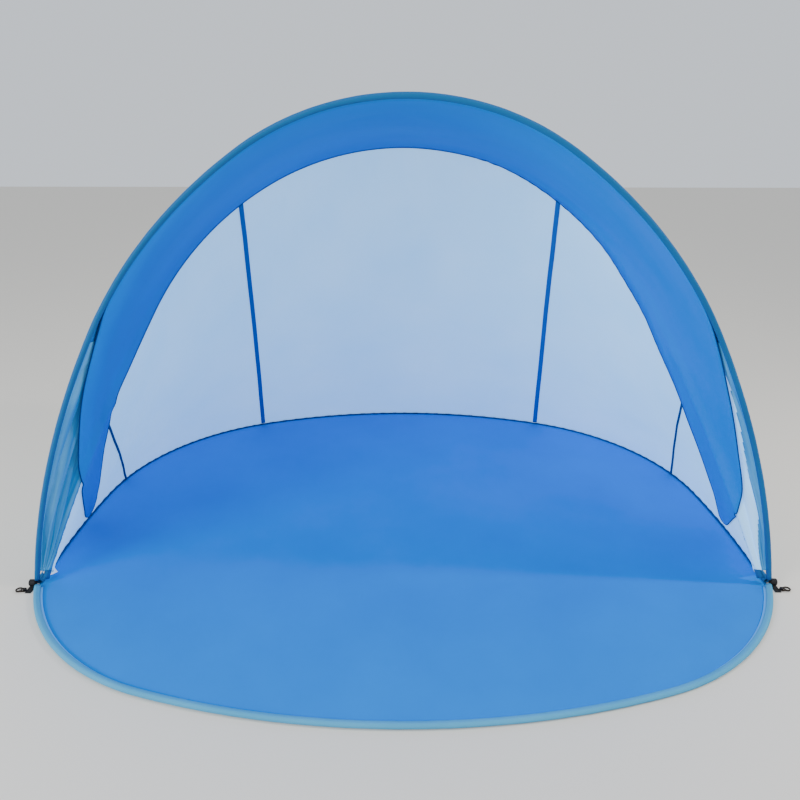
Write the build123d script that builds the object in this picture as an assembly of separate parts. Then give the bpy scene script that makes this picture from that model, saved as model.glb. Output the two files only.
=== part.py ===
# A pop-up beach shelter: two hinged hoops carry a cloth canopy over a half-round floor, and the
# front half of the floor folds up about the line between the two front corners.
# Millimetres. X runs to the right, Y to the rear and Z up; the origin is on the ground, midway
# between the front corners.
import os
from math import asin, cos, degrees, radians, sin

from build123d import *

# Overall shape. Lengths of an arch are measured up its own plane.
WIDTH = 2000            # between the front corners, rod centre to rod centre
FRONT_DEPTH = 485       # corner line to the front edge of the floor
REAR_DEPTH = 1205       # corner line to the rear edge of the floor
MOUTH_HEIGHT = 1223
MOUTH_LEAN = -5.73      # degrees back from upright, so the mouth leans forwards
REAR_ARCH_HEIGHT = 1186
REAR_ARCH_LEAN = 20
REAR_ARCH_INSET = 18    # each rear arch foot stands this far inside the mouth arch's foot
HINGE_HEIGHT = 10       # of the line that both arches turn about

# Each path is a chain of tangent arcs from its apex: (radius, slope in degrees at its far end).
# One more arc, tangent to the last, runs on to the foot.
MOUTH_BENDS = ((609, 33.8), (1205, 59.6))
REAR_ARCH_BENDS = ((720, 31.2), (820, 64.0))
FRONT_BENDS = ((1973, 17.5),)
REAR_RADIUS = 1500      # of the floor's rear edge, between the two long seams
LONG_SEAM_FOOT_X = 565
SIDE_SWELL = 5          # degrees that the floor's side edge splays outwards from the corner

# Rods, and the cloth sleeves they run in.
ROD_R = 2
SLEEVE_R = 6.5
SLEEVE_T = 0.8
FERRULE_R = 3.2
FERRULE_LENGTH = 60
ARCH_FOOT_GAP = 22      # sleeve ends stop short of the corner, where the tab covers the joint
FLOOR_FOOT_GAP = 60
ROD_END = 6             # the rod shows past its sleeve by this much

# Cloth.
CLOTH_T = 1.5
FLOOR_T = 1.6
FOLD_LINE_Y = -8        # where the floor folds, just in front of the corner line
FOLD_GAP = 2            # from the fold line to the cut edge of either floor sheet
EDGE_GAP = 1.5          # between a sleeve and the cut edge of the canopy cloth
TAPE_GAP = 3            # from the canopy to the seam tapes inside it
SEAM_GAP = 1.5          # from a seam to the cut edge of the gore on each side of it
BAND_GAP = 4            # from the canopy to the lining band inside it
BAND_T = 1.2
TAIL_GAP = 20           # from the side cloth to the band's tails, which pass inside the rear arch
HEM_WIDTH = 7           # flat tape that closes the front sleeve on the floor
HEM_T = 0.8
TOUCH = 0.05            # pieces of one body that rest on each other stand this far apart

# Seam places, as shares of a hoop's length from its left foot.
LONG_SEAM_TOP = 0.363
SHORT_SEAM_TOP = 0.155
LONG_SEAM_FOOT = 0.34
SHORT_SEAM_FOOT = 0.17
TAIL_SPREAD = 1.25      # the tails widen this much more along the floor than along the arch
BAND_LEAVES_MOUTH = 0.225
CORNER_SHARE = 0.015    # the side walls start this far along from the corner
CUT_SHARE = 0.001       # left between the roof and each gusset
TAPE_WIDTH = 15
TAPE_T = 1.0
TAPE_EASE = 6           # the tapes stop this far short of the arch and the floor

# Corner tabs, peg rings and the care label.
TAB_LENGTH = 44
TAB_WIDTH = 16
TAB_T = 1.2
TAB_SHIFT = 12          # a corner tab's middle lies this far in front of the corner
TAB_CLEAR = 3           # from the corner point out to the tab
LOOP_SHIFT = 12         # the loop lies this far in front of the corner tab's middle
ROLL_R = 9
RING_OUTER_R = 9.5
RING_BORE_R = 6
RING_T = 3
RING_EASE = 0.9         # between the eye's bar and the tape loop round it
EYE_BAR = 2.5           # width of the bar that the tape loop goes round
SLOT_LENGTH = 6
SLOT_WIDTH = 10
LOOP_WIDTH = 8
EYE_CENTRE = EYE_BAR / 2 + SLOT_LENGTH + 1.5 + RING_BORE_R    # from the bar to the ring's centre
LOOP_ROOM = (EYE_BAR**2 + RING_T**2) ** 0.5 / 2 + RING_EASE
EYE_BAR_X = TAB_WIDTH + TAB_T + LOOP_ROOM
LABEL_SIZE = (32, 20, 0.5)
LABEL_PLACE = (30, 34, 12)    # from the left corner
LABEL_TURN = 50
LABEL_TILT = 25


def plane_leaning(lean):
    """The plane of an arch: local X along the corner line, local Y up the arch."""
    back = radians(lean)
    return Plane(origin=(0, 0, HINGE_HEIGHT), x_dir=(1, 0, 0), z_dir=(0, -cos(back), sin(back)))


def half_path(apex, bends, foot, inset):
    """Tangent arcs in local X and Y from above (0, apex) to the corner line, drawn in by inset."""
    arcs = []
    point = Vector(0, apex)
    slope = 0
    for radius, end in bends:
        centre = point - heading_out(slope) * radius
        arcs.append(CenterArc(centre, radius - inset, 90 - slope, slope - end))
        point = centre + heading_out(end) * radius
        slope = end
    chord = Vector(foot, 0) - point
    radius = -(chord.length**2) / (2 * chord.dot(heading_out(slope)))
    centre = point - heading_out(slope) * radius
    end = 90 + degrees(asin(centre.Y / (radius - inset)))
    arcs.append(CenterArc(centre, radius - inset, 90 - slope, slope - end))
    return arcs


def heading_out(slope):
    """The outward direction of an arc where its slope, in degrees, is this."""
    return Vector(sin(radians(slope)), cos(radians(slope)))


def hoop(plane, apex, bends, foot, inset=0, foot_gap=0):
    """A whole path in its plane, drawn in by inset and cut short at both feet."""
    arcs = half_path(apex, bends, foot, inset)
    last = arcs.pop()
    arcs.append(last.trim(0, 1 - foot_gap / last.length))
    mirrored = [arc.mirror(Plane.YZ) for arc in arcs]
    return Wire(arcs + mirrored).moved(plane.location)


def rear_bends():
    """The floor's rear edge: one wide arc, then a corner arc that turns into the side edge."""
    seam_slope = asin(LONG_SEAM_FOOT_X / REAR_RADIUS)
    side_slope = radians(90 - SIDE_SWELL)
    corner_radius = (WIDTH / 2 - LONG_SEAM_FOOT_X) / (sin(side_slope) - sin(seam_slope))
    return ((REAR_RADIUS, degrees(seam_slope)), (corner_radius, 90 - SIDE_SWELL))


def mouth_path(inset=0, foot_gap=0, forward=0):
    plane = plane_leaning(MOUTH_LEAN).offset(forward)
    return hoop(plane, MOUTH_HEIGHT, MOUTH_BENDS, WIDTH / 2, inset, foot_gap)


def rear_arch_path(inset=0, foot_gap=0, forward=0):
    plane = plane_leaning(REAR_ARCH_LEAN).offset(forward)
    foot = WIDTH / 2 - REAR_ARCH_INSET
    return hoop(plane, REAR_ARCH_HEIGHT, REAR_ARCH_BENDS, foot, inset, foot_gap)


def rear_edge_path(height, inset=0, foot_gap=0):
    plane = Plane(origin=(0, 0, height))
    return hoop(plane, REAR_DEPTH, rear_bends(), WIDTH / 2, inset, foot_gap)


def front_edge_path(height, inset=0, foot_gap=0):
    plane = Plane(origin=(0, 0, height), x_dir=(1, 0, 0), z_dir=(0, 0, -1))
    return hoop(plane, FRONT_DEPTH, FRONT_BENDS, WIDTH / 2, inset, foot_gap)


def at(path, share):
    """The point at a share of the path's length from its left foot."""
    return path @ (share if (path @ 0).X < 0 else 1 - share)


def shares(start, end, count):
    return [start + (end - start) * i / (count - 1) for i in range(count)]


def tube(path, outer, inner=0):
    """A round tube or rod along a path."""
    section = Circle(outer) - Circle(inner) if inner else Circle(outer)
    return sweep(Plane(origin=path @ 0, z_dir=path % 0) * section, path=path)


def cloth(points_a, points_b, thickness=CLOTH_T):
    """A thin solid between two smooth edges."""
    skin = Face.make_surface_from_curves(Spline(*points_a), Spline(*points_b))
    return Solid.thicken(skin, thickness)


def ferrule(path):
    """The metal tube that joins the two ends of a hoop's rod, at the middle of its length."""
    share = FERRULE_LENGTH / path.length / 2
    middle = path.trim(0.5 - share, 0.5 + share)
    return tube(middle, FERRULE_R, ROD_R + TOUCH)


def sleeve_and_rod(path_at, foot_gap):
    """A hollow cloth sleeve, and the sprung rod that runs through it."""
    sleeve = tube(path_at(foot_gap), SLEEVE_R, SLEEVE_R - SLEEVE_T)
    rod = tube(path_at(foot_gap - ROD_END), ROD_R)
    return sleeve, rod


def flat_strip(outer, inner, thickness):
    """A flat tape between two paths at the same height."""
    ends = [Line(outer @ 0, inner @ 0), Line(outer @ 1, inner @ 1)]
    outline = Wire([*outer.edges(), *inner.edges(), *ends])
    return extrude(Face(outline), thickness, dir=(0, 0, 1))


def floor_sheet(side):
    """The part of the flat floor behind (side 1) or in front of (side -1) the fold line."""
    rear = rear_edge_path(0, sheet_inset())
    front = front_edge_path(0, sheet_inset())
    left = Line(at(rear, 0), at(front, 0))
    right = Line(at(rear, 1), at(front, 1))
    outline = Wire([*rear.edges(), *front.edges(), left, right])
    whole = extrude(Face(outline), FLOOR_T, dir=(0, 0, 1))
    cut_y = FOLD_LINE_Y + side * FOLD_GAP
    return whole - Pos(0, cut_y - side * REAR_DEPTH, 0) * Box(2 * WIDTH, 2 * REAR_DEPTH, 3 * FLOOR_T)


def sheet_inset():
    """How far inside the sleeve's centre the floor sheet meets the sleeve's side."""
    return (SLEEVE_R**2 - (SLEEVE_R - FLOOR_T) ** 2) ** 0.5 + TOUCH


# The edges that the canopy cloth is cut to. Each stops just short of the sleeve it is sewn to.
CLOTH_REACH = SLEEVE_R + EDGE_GAP
MOUTH_EDGE = mouth_path(forward=-CLOTH_REACH)
ROOF_EDGE = rear_arch_path(forward=CLOTH_REACH)
WALL_TOP = rear_arch_path(forward=-CLOTH_REACH)
WALL_FOOT = rear_edge_path(FLOOR_T + CLOTH_T, CLOTH_REACH)
BAND_MOUTH_EDGE = mouth_path(BAND_GAP, forward=-CLOTH_REACH)
BAND_REAR_EDGE = rear_arch_path(BAND_GAP, forward=CLOTH_REACH)
TAPE_TOP = rear_arch_path(TAPE_GAP, forward=-CLOTH_REACH)
TAPE_FOOT = rear_edge_path(FLOOR_T + CLOTH_T, CLOTH_REACH + TAPE_GAP)


def gore(top_start, top_end, foot_start, foot_end):
    """A wall gore between the rear arch and the floor's edge, from one seam to the next."""
    top_trim = SEAM_GAP / WALL_TOP.length
    foot_trim = SEAM_GAP / WALL_FOOT.length
    tops = shares(top_start + top_trim, top_end - top_trim, 7)
    feet = shares(foot_start + foot_trim, foot_end - foot_trim, 7)
    return cloth([at(WALL_TOP, s) for s in tops], [at(WALL_FOOT, s) for s in feet])


def roof(start, end, count):
    """Canopy cloth between the mouth arch and the rear arch."""
    steps = shares(start, end, count)
    return cloth([at(MOUTH_EDGE, s) for s in steps], [at(ROOF_EDGE, s) for s in steps])


def seam_tape(top_share, foot_share):
    """A flat tape sewn down the inside of a seam, from the rear arch to the floor."""
    top, foot = at(TAPE_TOP, top_share), at(TAPE_FOOT, foot_share)
    along = foot - top
    across = at(TAPE_TOP, top_share + 0.01) - at(TAPE_TOP, top_share - 0.01)
    across += at(TAPE_FOOT, foot_share + 0.01) - at(TAPE_FOOT, foot_share - 0.01)
    inward = along.cross(across)
    if inward.Y > 0:
        inward = inward * -1
    flat = Plane(origin=(top + foot) / 2, x_dir=along, z_dir=inward)
    return extrude(flat * Rectangle(along.length - 2 * TAPE_EASE, TAPE_WIDTH), TAPE_T)


def wall_point(share, down):
    """A point just inside the left side wall, a share of the way down from the rear arch."""
    foot_share = share * TAIL_SPREAD
    point = at(WALL_TOP, share) * (1 - down) + at(WALL_FOOT, foot_share) * down
    return point + Vector(TAIL_GAP, 0, 0)


def gusset_point(share, back):
    """A point just inside the left gusset, a share of the way back from the mouth arch."""
    point = at(MOUTH_EDGE, share) * (1 - back) + at(ROOF_EDGE, share) * back
    return point + Vector(TAIL_GAP, 0, 0)


def band_tail():
    """The left end of the lining band: it leaves the roof, and runs down the side wall to the floor."""
    start = BAND_LEAVES_MOUTH - CUT_SHARE
    front = [
        at(BAND_MOUTH_EDGE, start),
        gusset_point(0.17, 0.4),
        gusset_point(0.12, 0.7),
        wall_point(0.08, 0.25),
        wall_point(0.074, 0.92),
    ]
    rear = [
        at(BAND_REAR_EDGE, start),
        gusset_point(0.18, 1),
        wall_point(0.13, 0.22),
        wall_point(0.1, 0.57),
        wall_point(0.084, 0.92),
    ]
    return cloth(front, rear, BAND_T)


def peg_tab(place, loop_y=0):
    """A webbing patch, with a narrow tape loop on its outer edge that holds a peg eye."""
    patch = Pos(TAB_WIDTH / 2, 0, TAB_T / 2) * Box(TAB_WIDTH, TAB_LENGTH, TAB_T)
    middle = Pos(EYE_BAR_X, loop_y, LOOP_ROOM + TAB_T)
    outer = middle * Box(2 * (LOOP_ROOM + TAB_T), LOOP_WIDTH, 2 * (LOOP_ROOM + TAB_T))
    hollow = middle * Box(2 * LOOP_ROOM, 2 * LOOP_WIDTH, 2 * LOOP_ROOM)
    return place * (patch + outer - hollow)


def corner_tab(side):
    """The tab at a front corner: its webbing is also rolled round the joint of the hoops."""
    place = corner_place(side)
    roll = place * Pos(TAB_WIDTH / 2, 0, HINGE_HEIGHT) * Rot(0, 90, 0) * Cylinder(ROLL_R, TAB_WIDTH)
    return peg_tab(place * Pos(0, -side * TAB_SHIFT, 0), -side * LOOP_SHIFT) + roll


def corner_place(side):
    """Local X points away from the floor at a front corner."""
    return Pos(side * (WIDTH / 2 + TAB_CLEAR), 0, 0) * Rot(0, 0, 0 if side > 0 else 180)


def rear_place(side):
    """Local X points away from the floor at the foot of a long seam."""
    edge = rear_edge_path(0)
    share = LONG_SEAM_FOOT if side < 0 else 1 - LONG_SEAM_FOOT
    foot = at(edge, share)
    ahead = at(edge, share + CUT_SHARE) - at(edge, share - CUT_SHARE)
    outward = Vector(-ahead.Y, ahead.X)
    return Plane(origin=foot, x_dir=outward, z_dir=(0, 0, 1)).location * Pos(tab_start(), 0, 0)


def tab_start():
    """How far outside the sleeve's centre a tab on the ground meets the sleeve's side."""
    return (SLEEVE_R**2 - (SLEEVE_R - TAB_T) ** 2) ** 0.5 + TOUCH


def peg_ring(place):
    """A flat steel eye: a ring for a ground peg, and a slot for the tab's tape loop."""
    half_width = SLOT_WIDTH / 2 + EYE_BAR
    length = EYE_BAR / 2 + EYE_CENTRE
    plate = Pos(EYE_CENTRE - length / 2, 0, 0) * Box(length, 2 * half_width, RING_T)
    eye = Pos(EYE_CENTRE, 0, 0) * Cylinder(RING_OUTER_R, RING_T) + plate
    slot = Pos((EYE_BAR + SLOT_LENGTH) / 2, 0, 0) * Box(SLOT_LENGTH, SLOT_WIDTH, 2 * RING_T)
    bore = Pos(EYE_CENTRE, 0, 0) * Cylinder(RING_BORE_R, 2 * RING_T)
    return place * Pos(EYE_BAR_X, 0, LOOP_ROOM + TAB_T) * (eye - slot - bore)


def care_label():
    """A blank folded label sewn into the seam at the left corner."""
    x, y, z = LABEL_PLACE
    turn = Rot(0, 0, LABEL_TURN) * Rot(LABEL_TILT, 0, 0)
    return Pos(-WIDTH / 2 + x, y, z) * turn * Box(*LABEL_SIZE)


def write(node, shape):
    shape.label = node
    export_step(shape, f"parts/{node}.step")


def write_floor_and_rear_edge():
    write("rear_floor_sheet", floor_sheet(1))
    sleeve, rod = sleeve_and_rod(lambda gap: rear_edge_path(SLEEVE_R, 0, gap), FLOOR_FOOT_GAP)
    write("rear_floor_sleeve", sleeve)
    write("rear_floor_rod", rod)
    write("rear_floor_ferrule", ferrule(rear_edge_path(SLEEVE_R)))


def write_pair(left_node, right_node, left_shape):
    write(left_node, left_shape)
    write(right_node, left_shape.mirror(Plane.YZ))


def write_canopy():
    short, long = SHORT_SEAM_TOP, LONG_SEAM_TOP
    short_foot, long_foot = SHORT_SEAM_FOOT, LONG_SEAM_FOOT
    leaves = BAND_LEAVES_MOUTH
    write("back_wall", gore(long, 1 - long, long_foot, 1 - long_foot))
    write_pair("rear_left_wall", "rear_right_wall", gore(short, long, short_foot, long_foot))
    write_pair("side_left_wall", "side_right_wall", gore(CORNER_SHARE, short, CORNER_SHARE, short_foot))
    write("roof_panel", roof(leaves, 1 - leaves, 13))
    write_pair("left_gusset", "right_gusset", roof(2 * CORNER_SHARE, leaves - CUT_SHARE, 7))


def write_lining_and_tapes():
    steps = shares(BAND_LEAVES_MOUTH, 1 - BAND_LEAVES_MOUTH, 13)
    mouth_side = [at(BAND_MOUTH_EDGE, s) for s in steps]
    rear_side = [at(BAND_REAR_EDGE, s) for s in steps]
    long_tape = seam_tape(LONG_SEAM_TOP, LONG_SEAM_FOOT)
    short_tape = seam_tape(SHORT_SEAM_TOP, SHORT_SEAM_FOOT)
    write("roof_band", cloth(mouth_side, rear_side, BAND_T))
    write_pair("left_band_tail", "right_band_tail", band_tail())
    write_pair("long_seam_tape_left", "long_seam_tape_right", long_tape)
    write_pair("short_seam_tape_left", "short_seam_tape_right", short_tape)
    write("care_label", care_label())


def write_tabs_and_rings():
    for side, name in ((-1, "left"), (1, "right")):
        place = corner_place(side) * Pos(0, -side * (TAB_SHIFT + LOOP_SHIFT), 0)
        write(f"corner_tab_{name}", corner_tab(side))
        write(f"corner_peg_ring_{name}", peg_ring(place))
        write(f"rear_tab_{name}", peg_tab(rear_place(side)))
        write(f"rear_peg_ring_{name}", peg_ring(rear_place(side)))


def write_front_flap():
    write("front_floor_sheet", floor_sheet(-1))
    sleeve, rod = sleeve_and_rod(lambda gap: front_edge_path(SLEEVE_R, 0, gap), FLOOR_FOOT_GAP)
    write("front_floor_sleeve", sleeve)
    write("front_floor_rod", rod)
    write("front_floor_ferrule", ferrule(front_edge_path(SLEEVE_R)))
    hem_outer = front_edge_path(FLOOR_T, SLEEVE_R + TOUCH, FLOOR_FOOT_GAP)
    hem_inner = front_edge_path(FLOOR_T, SLEEVE_R + TOUCH + HEM_WIDTH, FLOOR_FOOT_GAP)
    write("front_hem_tape", flat_strip(hem_outer, hem_inner, HEM_T))


def write_arches():
    mouth_sleeve, mouth_rod = sleeve_and_rod(lambda gap: mouth_path(0, gap), ARCH_FOOT_GAP)
    write("mouth_arch_sleeve", mouth_sleeve)
    write("mouth_arch_rod", mouth_rod)
    write("mouth_arch_ferrule", ferrule(mouth_path()))
    rear_sleeve, rear_rod = sleeve_and_rod(lambda gap: rear_arch_path(0, gap), ARCH_FOOT_GAP)
    write("rear_arch_sleeve", rear_sleeve)
    write("rear_arch_rod", rear_rod)
    write("rear_arch_ferrule", ferrule(rear_arch_path()))


def build():
    os.makedirs("parts", exist_ok=True)
    write_floor_and_rear_edge()
    write_canopy()
    write_lining_and_tapes()
    write_tabs_and_rings()
    write_front_flap()
    write_arches()


build()
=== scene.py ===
from math import asin, atan2, ceil, cos, exp, pi, radians, sin, tau

import bmesh
import bpy
from mathutils import Matrix, Vector, noise


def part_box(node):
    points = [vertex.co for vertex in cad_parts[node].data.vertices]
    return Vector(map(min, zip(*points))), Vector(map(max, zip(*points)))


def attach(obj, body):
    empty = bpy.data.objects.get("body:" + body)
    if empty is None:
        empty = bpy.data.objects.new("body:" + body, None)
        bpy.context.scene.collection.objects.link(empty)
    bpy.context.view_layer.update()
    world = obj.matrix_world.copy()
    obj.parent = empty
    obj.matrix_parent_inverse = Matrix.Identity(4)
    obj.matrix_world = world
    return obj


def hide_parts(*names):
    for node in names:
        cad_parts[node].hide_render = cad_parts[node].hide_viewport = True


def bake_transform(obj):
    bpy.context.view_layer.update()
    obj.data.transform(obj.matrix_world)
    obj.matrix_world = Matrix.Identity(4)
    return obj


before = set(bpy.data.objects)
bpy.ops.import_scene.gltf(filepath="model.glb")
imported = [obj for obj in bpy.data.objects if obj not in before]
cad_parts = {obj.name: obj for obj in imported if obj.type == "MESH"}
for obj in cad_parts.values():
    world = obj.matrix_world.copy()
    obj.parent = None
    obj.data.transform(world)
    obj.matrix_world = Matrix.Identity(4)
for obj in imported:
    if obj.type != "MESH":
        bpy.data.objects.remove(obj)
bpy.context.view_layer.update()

# ---- Studio -------------------------------------------------------------------------------------
# A pale floor under a pale soft sky. The key light stands to the right, level with the mouth, so the
# canopy shades its own floor; a wide soft light in front and to the left fills the inside.
STUDIO_WIDTH = 24
STUDIO_DROP = 0.0008    # the studio floor lies this far under the shelter
CAMERA_PLACE = (-0.019, -1.589, 1.185)
CAMERA_TURN = (radians(68.1), radians(-0.1), radians(-0.23))
CAMERA_LENS = 31.5
SKY_COLOUR = (0.86, 0.92, 1.0, 1)
SKY_STRENGTH = 0.92


def light_level(value):
    """A display value from 0 to 255 as the linear level that shaders take."""
    share = value / 255
    return share / 12.92 if share <= 0.04045 else ((share + 0.055) / 1.055) ** 2.4


def paint(red, green, blue):
    return (light_level(red), light_level(green), light_level(blue), 1)


def soft_light(name, place, aim, size, watts, tint=(1, 1, 1)):
    lamp = bpy.data.lights.new(name, "AREA")
    lamp.shape = "DISK"
    lamp.size = size
    lamp.energy = watts
    lamp.color = tint
    light = bpy.data.objects.new(name, lamp)
    light.location = place
    light.rotation_mode = "QUATERNION"
    light.rotation_quaternion = (Vector(aim) - Vector(place)).to_track_quat("-Z", "Y")
    bpy.context.collection.objects.link(light)


camera_data = bpy.data.cameras.new("camera")
camera_data.lens = CAMERA_LENS
camera = bpy.data.objects.new("camera", camera_data)
camera.location = CAMERA_PLACE
camera.rotation_euler = CAMERA_TURN
bpy.context.collection.objects.link(camera)
bpy.context.scene.camera = camera

world = bpy.data.worlds.new("pale sky")
world.use_nodes = True
world.node_tree.nodes["Background"].inputs["Color"].default_value = SKY_COLOUR
world.node_tree.nodes["Background"].inputs["Strength"].default_value = SKY_STRENGTH
bpy.context.scene.world = world

soft_light("key", (2.9, -0.42, 2.0), (0.2, -0.3, 0), 0.22, 48, (1.0, 0.97, 0.92))
soft_light("front fill", (-2.9, -2.3, 2.0), (0.8, 0.45, 0.7), 1.8, 110, (0.92, 0.97, 1.0))
soft_light("top", (0.3, 0.2, 4.2), (0, 0.3, 0), 3.0, 25)

studio = bmesh.new()
bmesh.ops.create_grid(studio, x_segments=1, y_segments=1, size=STUDIO_WIDTH / 2)
bmesh.ops.translate(studio, verts=studio.verts, vec=(0, 0, -STUDIO_DROP))
studio_mesh = bpy.data.meshes.new("studio_floor")
studio.to_mesh(studio_mesh)
studio_floor = bpy.data.objects.new("studio_floor", studio_mesh)
bpy.context.collection.objects.link(studio_floor)
pale = bpy.data.materials.new("pale floor")
pale.use_nodes = True
pale.node_tree.nodes["Principled BSDF"].inputs["Base Color"].default_value = paint(226, 220, 210)
pale.node_tree.nodes["Principled BSDF"].inputs["Roughness"].default_value = 0.9
studio_mesh.materials.append(pale)

# ---- Hoops and sleeves --------------------------------------------------------------------------
# Four sprung steel hoops hold the shelter open: the mouth arch, the rear arch, and the two edges of
# the floor. Each rod runs in a cloth sleeve, folded from a strip and sewn along its open edge.
HALF_WIDTH = 1.0
HINGE_HEIGHT = 0.010
MOUTH_HEIGHT = 1.223    # heights are measured in the arch's own leaning plane
MOUTH_LEAN = radians(-5.73)
MOUTH_BENDS = ((0.609, radians(33.8)), (1.205, radians(59.6)))    # (radius, slope at the end)
REAR_ARCH_HEIGHT = 1.186
REAR_LEAN = radians(20)
REAR_ARCH_BENDS = ((0.720, radians(31.2)), (0.820, radians(64)))
ARCH_INSET = 0.018      # from the corner in to the rear arch's foot
REAR_DEPTH = 1.205
REAR_RADIUS = 1.5
LONG_SEAM_X = 0.565
SIDE_SWELL = radians(5)
FRONT_DEPTH = 0.485
FRONT_BENDS = ((1.973, radians(17.5)),)
SLEEVE_RADIUS = 0.0065
SLEEVE_CLOTH = 0.0008
SEAM_REACH = 0.0115
ARC_STEP = 0.012


def hoop(apex, bends, foot, up, base, inset=0, forward=0):
    """A chain of tangent arcs: each arc is (centre, radius, slope at its start, slope at its end)."""
    up = Vector(up)
    arcs = []
    point = Vector((0, apex))
    slope = 0
    for radius, end in bends:
        centre = point - Vector((sin(slope), cos(slope))) * radius
        arcs.append((centre, radius - inset, slope, end))
        point = centre + Vector((sin(end), cos(end))) * radius
        slope = end
    outward = Vector((sin(slope), cos(slope)))
    chord = Vector((foot, 0)) - point
    radius = -chord.length_squared / (2 * chord.dot(outward))
    centre = point - outward * radius
    arcs.append((centre, radius - inset, slope, pi / 2 + asin(centre.y / (radius - inset))))
    normal = Vector((1, 0, 0)).cross(up)
    half = sum(arc[1] * (arc[3] - arc[2]) for arc in arcs)
    return {"arcs": arcs, "half": half, "up": up, "base": Vector(base) - normal * forward}


def on(path, share):
    """The point at a share of the hoop's length from its left foot."""
    run = abs(share - 0.5) * 2 * path["half"]
    for centre, radius, start, end in path["arcs"]:
        if run <= radius * (end - start):
            break
        run -= radius * (end - start)
    else:
        run += radius * (end - start)
    slope = start + run / radius
    flat = centre + Vector((sin(slope), cos(slope))) * radius
    side = 1 if share > 0.5 else -1
    return path["base"] + Vector((side * flat.x, 0, 0)) + path["up"] * flat.y


def mouth_hoop(inset=0, forward=0):
    up = (0, sin(MOUTH_LEAN), cos(MOUTH_LEAN))
    return hoop(MOUTH_HEIGHT, MOUTH_BENDS, HALF_WIDTH, up, (0, 0, HINGE_HEIGHT), inset, forward)


def rear_hoop(inset=0, forward=0):
    up = (0, sin(REAR_LEAN), cos(REAR_LEAN))
    foot = HALF_WIDTH - ARCH_INSET
    return hoop(REAR_ARCH_HEIGHT, REAR_ARCH_BENDS, foot, up, (0, 0, HINGE_HEIGHT), inset, forward)


def back_edge(height, inset=0):
    seam_slope = asin(LONG_SEAM_X / REAR_RADIUS)
    side_slope = pi / 2 - SIDE_SWELL
    corner = (HALF_WIDTH - LONG_SEAM_X) / (sin(side_slope) - sin(seam_slope))
    bends = ((REAR_RADIUS, seam_slope), (corner, side_slope))
    return hoop(REAR_DEPTH, bends, HALF_WIDTH, (0, 1, 0), (0, 0, height), inset)


def front_edge(height, inset=0):
    return hoop(FRONT_DEPTH, FRONT_BENDS, HALF_WIDTH, (0, -1, 0), (0, 0, height), inset)


def spin_along(bm, profile, path, gap):
    """Spins a profile from the hoop's apex to near its right foot, and mirrors it to the left."""
    across = Vector((1, 0, 0))
    axis = path["up"].cross(across)
    for centre, radius, start, end in path["arcs"]:
        if end == path["arcs"][-1][3]:
            end -= gap / radius
        middle = path["base"] + across * centre.x + path["up"] * centre.y
        steps = max(2, ceil(radius * (end - start) / ARC_STEP))
        spun = bmesh.ops.spin(bm, geom=profile, cent=middle, axis=axis, angle=end - start, steps=steps)
        profile = spun["geom_last"]
    everything = bm.verts[:] + bm.edges[:] + bm.faces[:]
    bmesh.ops.mirror(bm, geom=everything, axis="X", merge_dist=0.00001)
    bmesh.ops.remove_doubles(bm, verts=bm.verts, dist=0.00001)
    bmesh.ops.recalc_face_normals(bm, faces=bm.faces)


def place_piece(name, bm, materials, smooth=True):
    """Turns a finished bmesh into a piece that stands where it was modelled."""
    mesh = bpy.data.meshes.new(name)
    bm.to_mesh(mesh)
    bm.free()
    for material in materials:
        mesh.materials.append(material)
    if smooth:
        mesh.shade_smooth()
    piece = bpy.data.objects.new(name, mesh)
    bpy.context.collection.objects.link(piece)
    return piece


def thicken(piece, thickness, inner_material=0, offset=-1):
    wall = piece.modifiers.new("thickness", "SOLIDIFY")
    wall.thickness = thickness
    wall.offset = offset
    wall.material_offset = inner_material
    wall.use_even_offset = False


def start_material(name, specular=0.5):
    """A new material: its nodes, its link call, its surface shader and its coordinates."""
    material = bpy.data.materials.new(name)
    material.use_nodes = True
    nodes, link = material.node_tree.nodes, material.node_tree.links.new
    surface = nodes["Principled BSDF"]
    surface.inputs["Specular IOR Level"].default_value = specular
    return material, nodes, link, surface, nodes.new("ShaderNodeTexCoord")


def mix_paints(nodes, link, share, first, second):
    """A colour between two paints, by a share that varies over the surface."""
    tone = nodes.new("ShaderNodeMix")
    tone.data_type = "RGBA"
    tone.inputs[6].default_value = paint(*first)
    tone.inputs[7].default_value = paint(*second)
    link(share, tone.inputs["Factor"])
    return tone.outputs[2]


def spread_range(nodes, link, value, side, low, high):
    """A value moved to or from the range low to high, by side: "From" or "To"."""
    spread = nodes.new("ShaderNodeMapRange")
    spread.inputs[f"{side} Min"].default_value = low
    spread.inputs[f"{side} Max"].default_value = high
    link(value, spread.inputs["Value"])
    return spread.outputs[0]


def add_bump(nodes, link, height, strength, distance):
    bump = nodes.new("ShaderNodeBump")
    bump.inputs["Strength"].default_value = strength
    bump.inputs["Distance"].default_value = distance
    link(height, bump.inputs["Height"])
    return bump.outputs[0]


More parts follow.
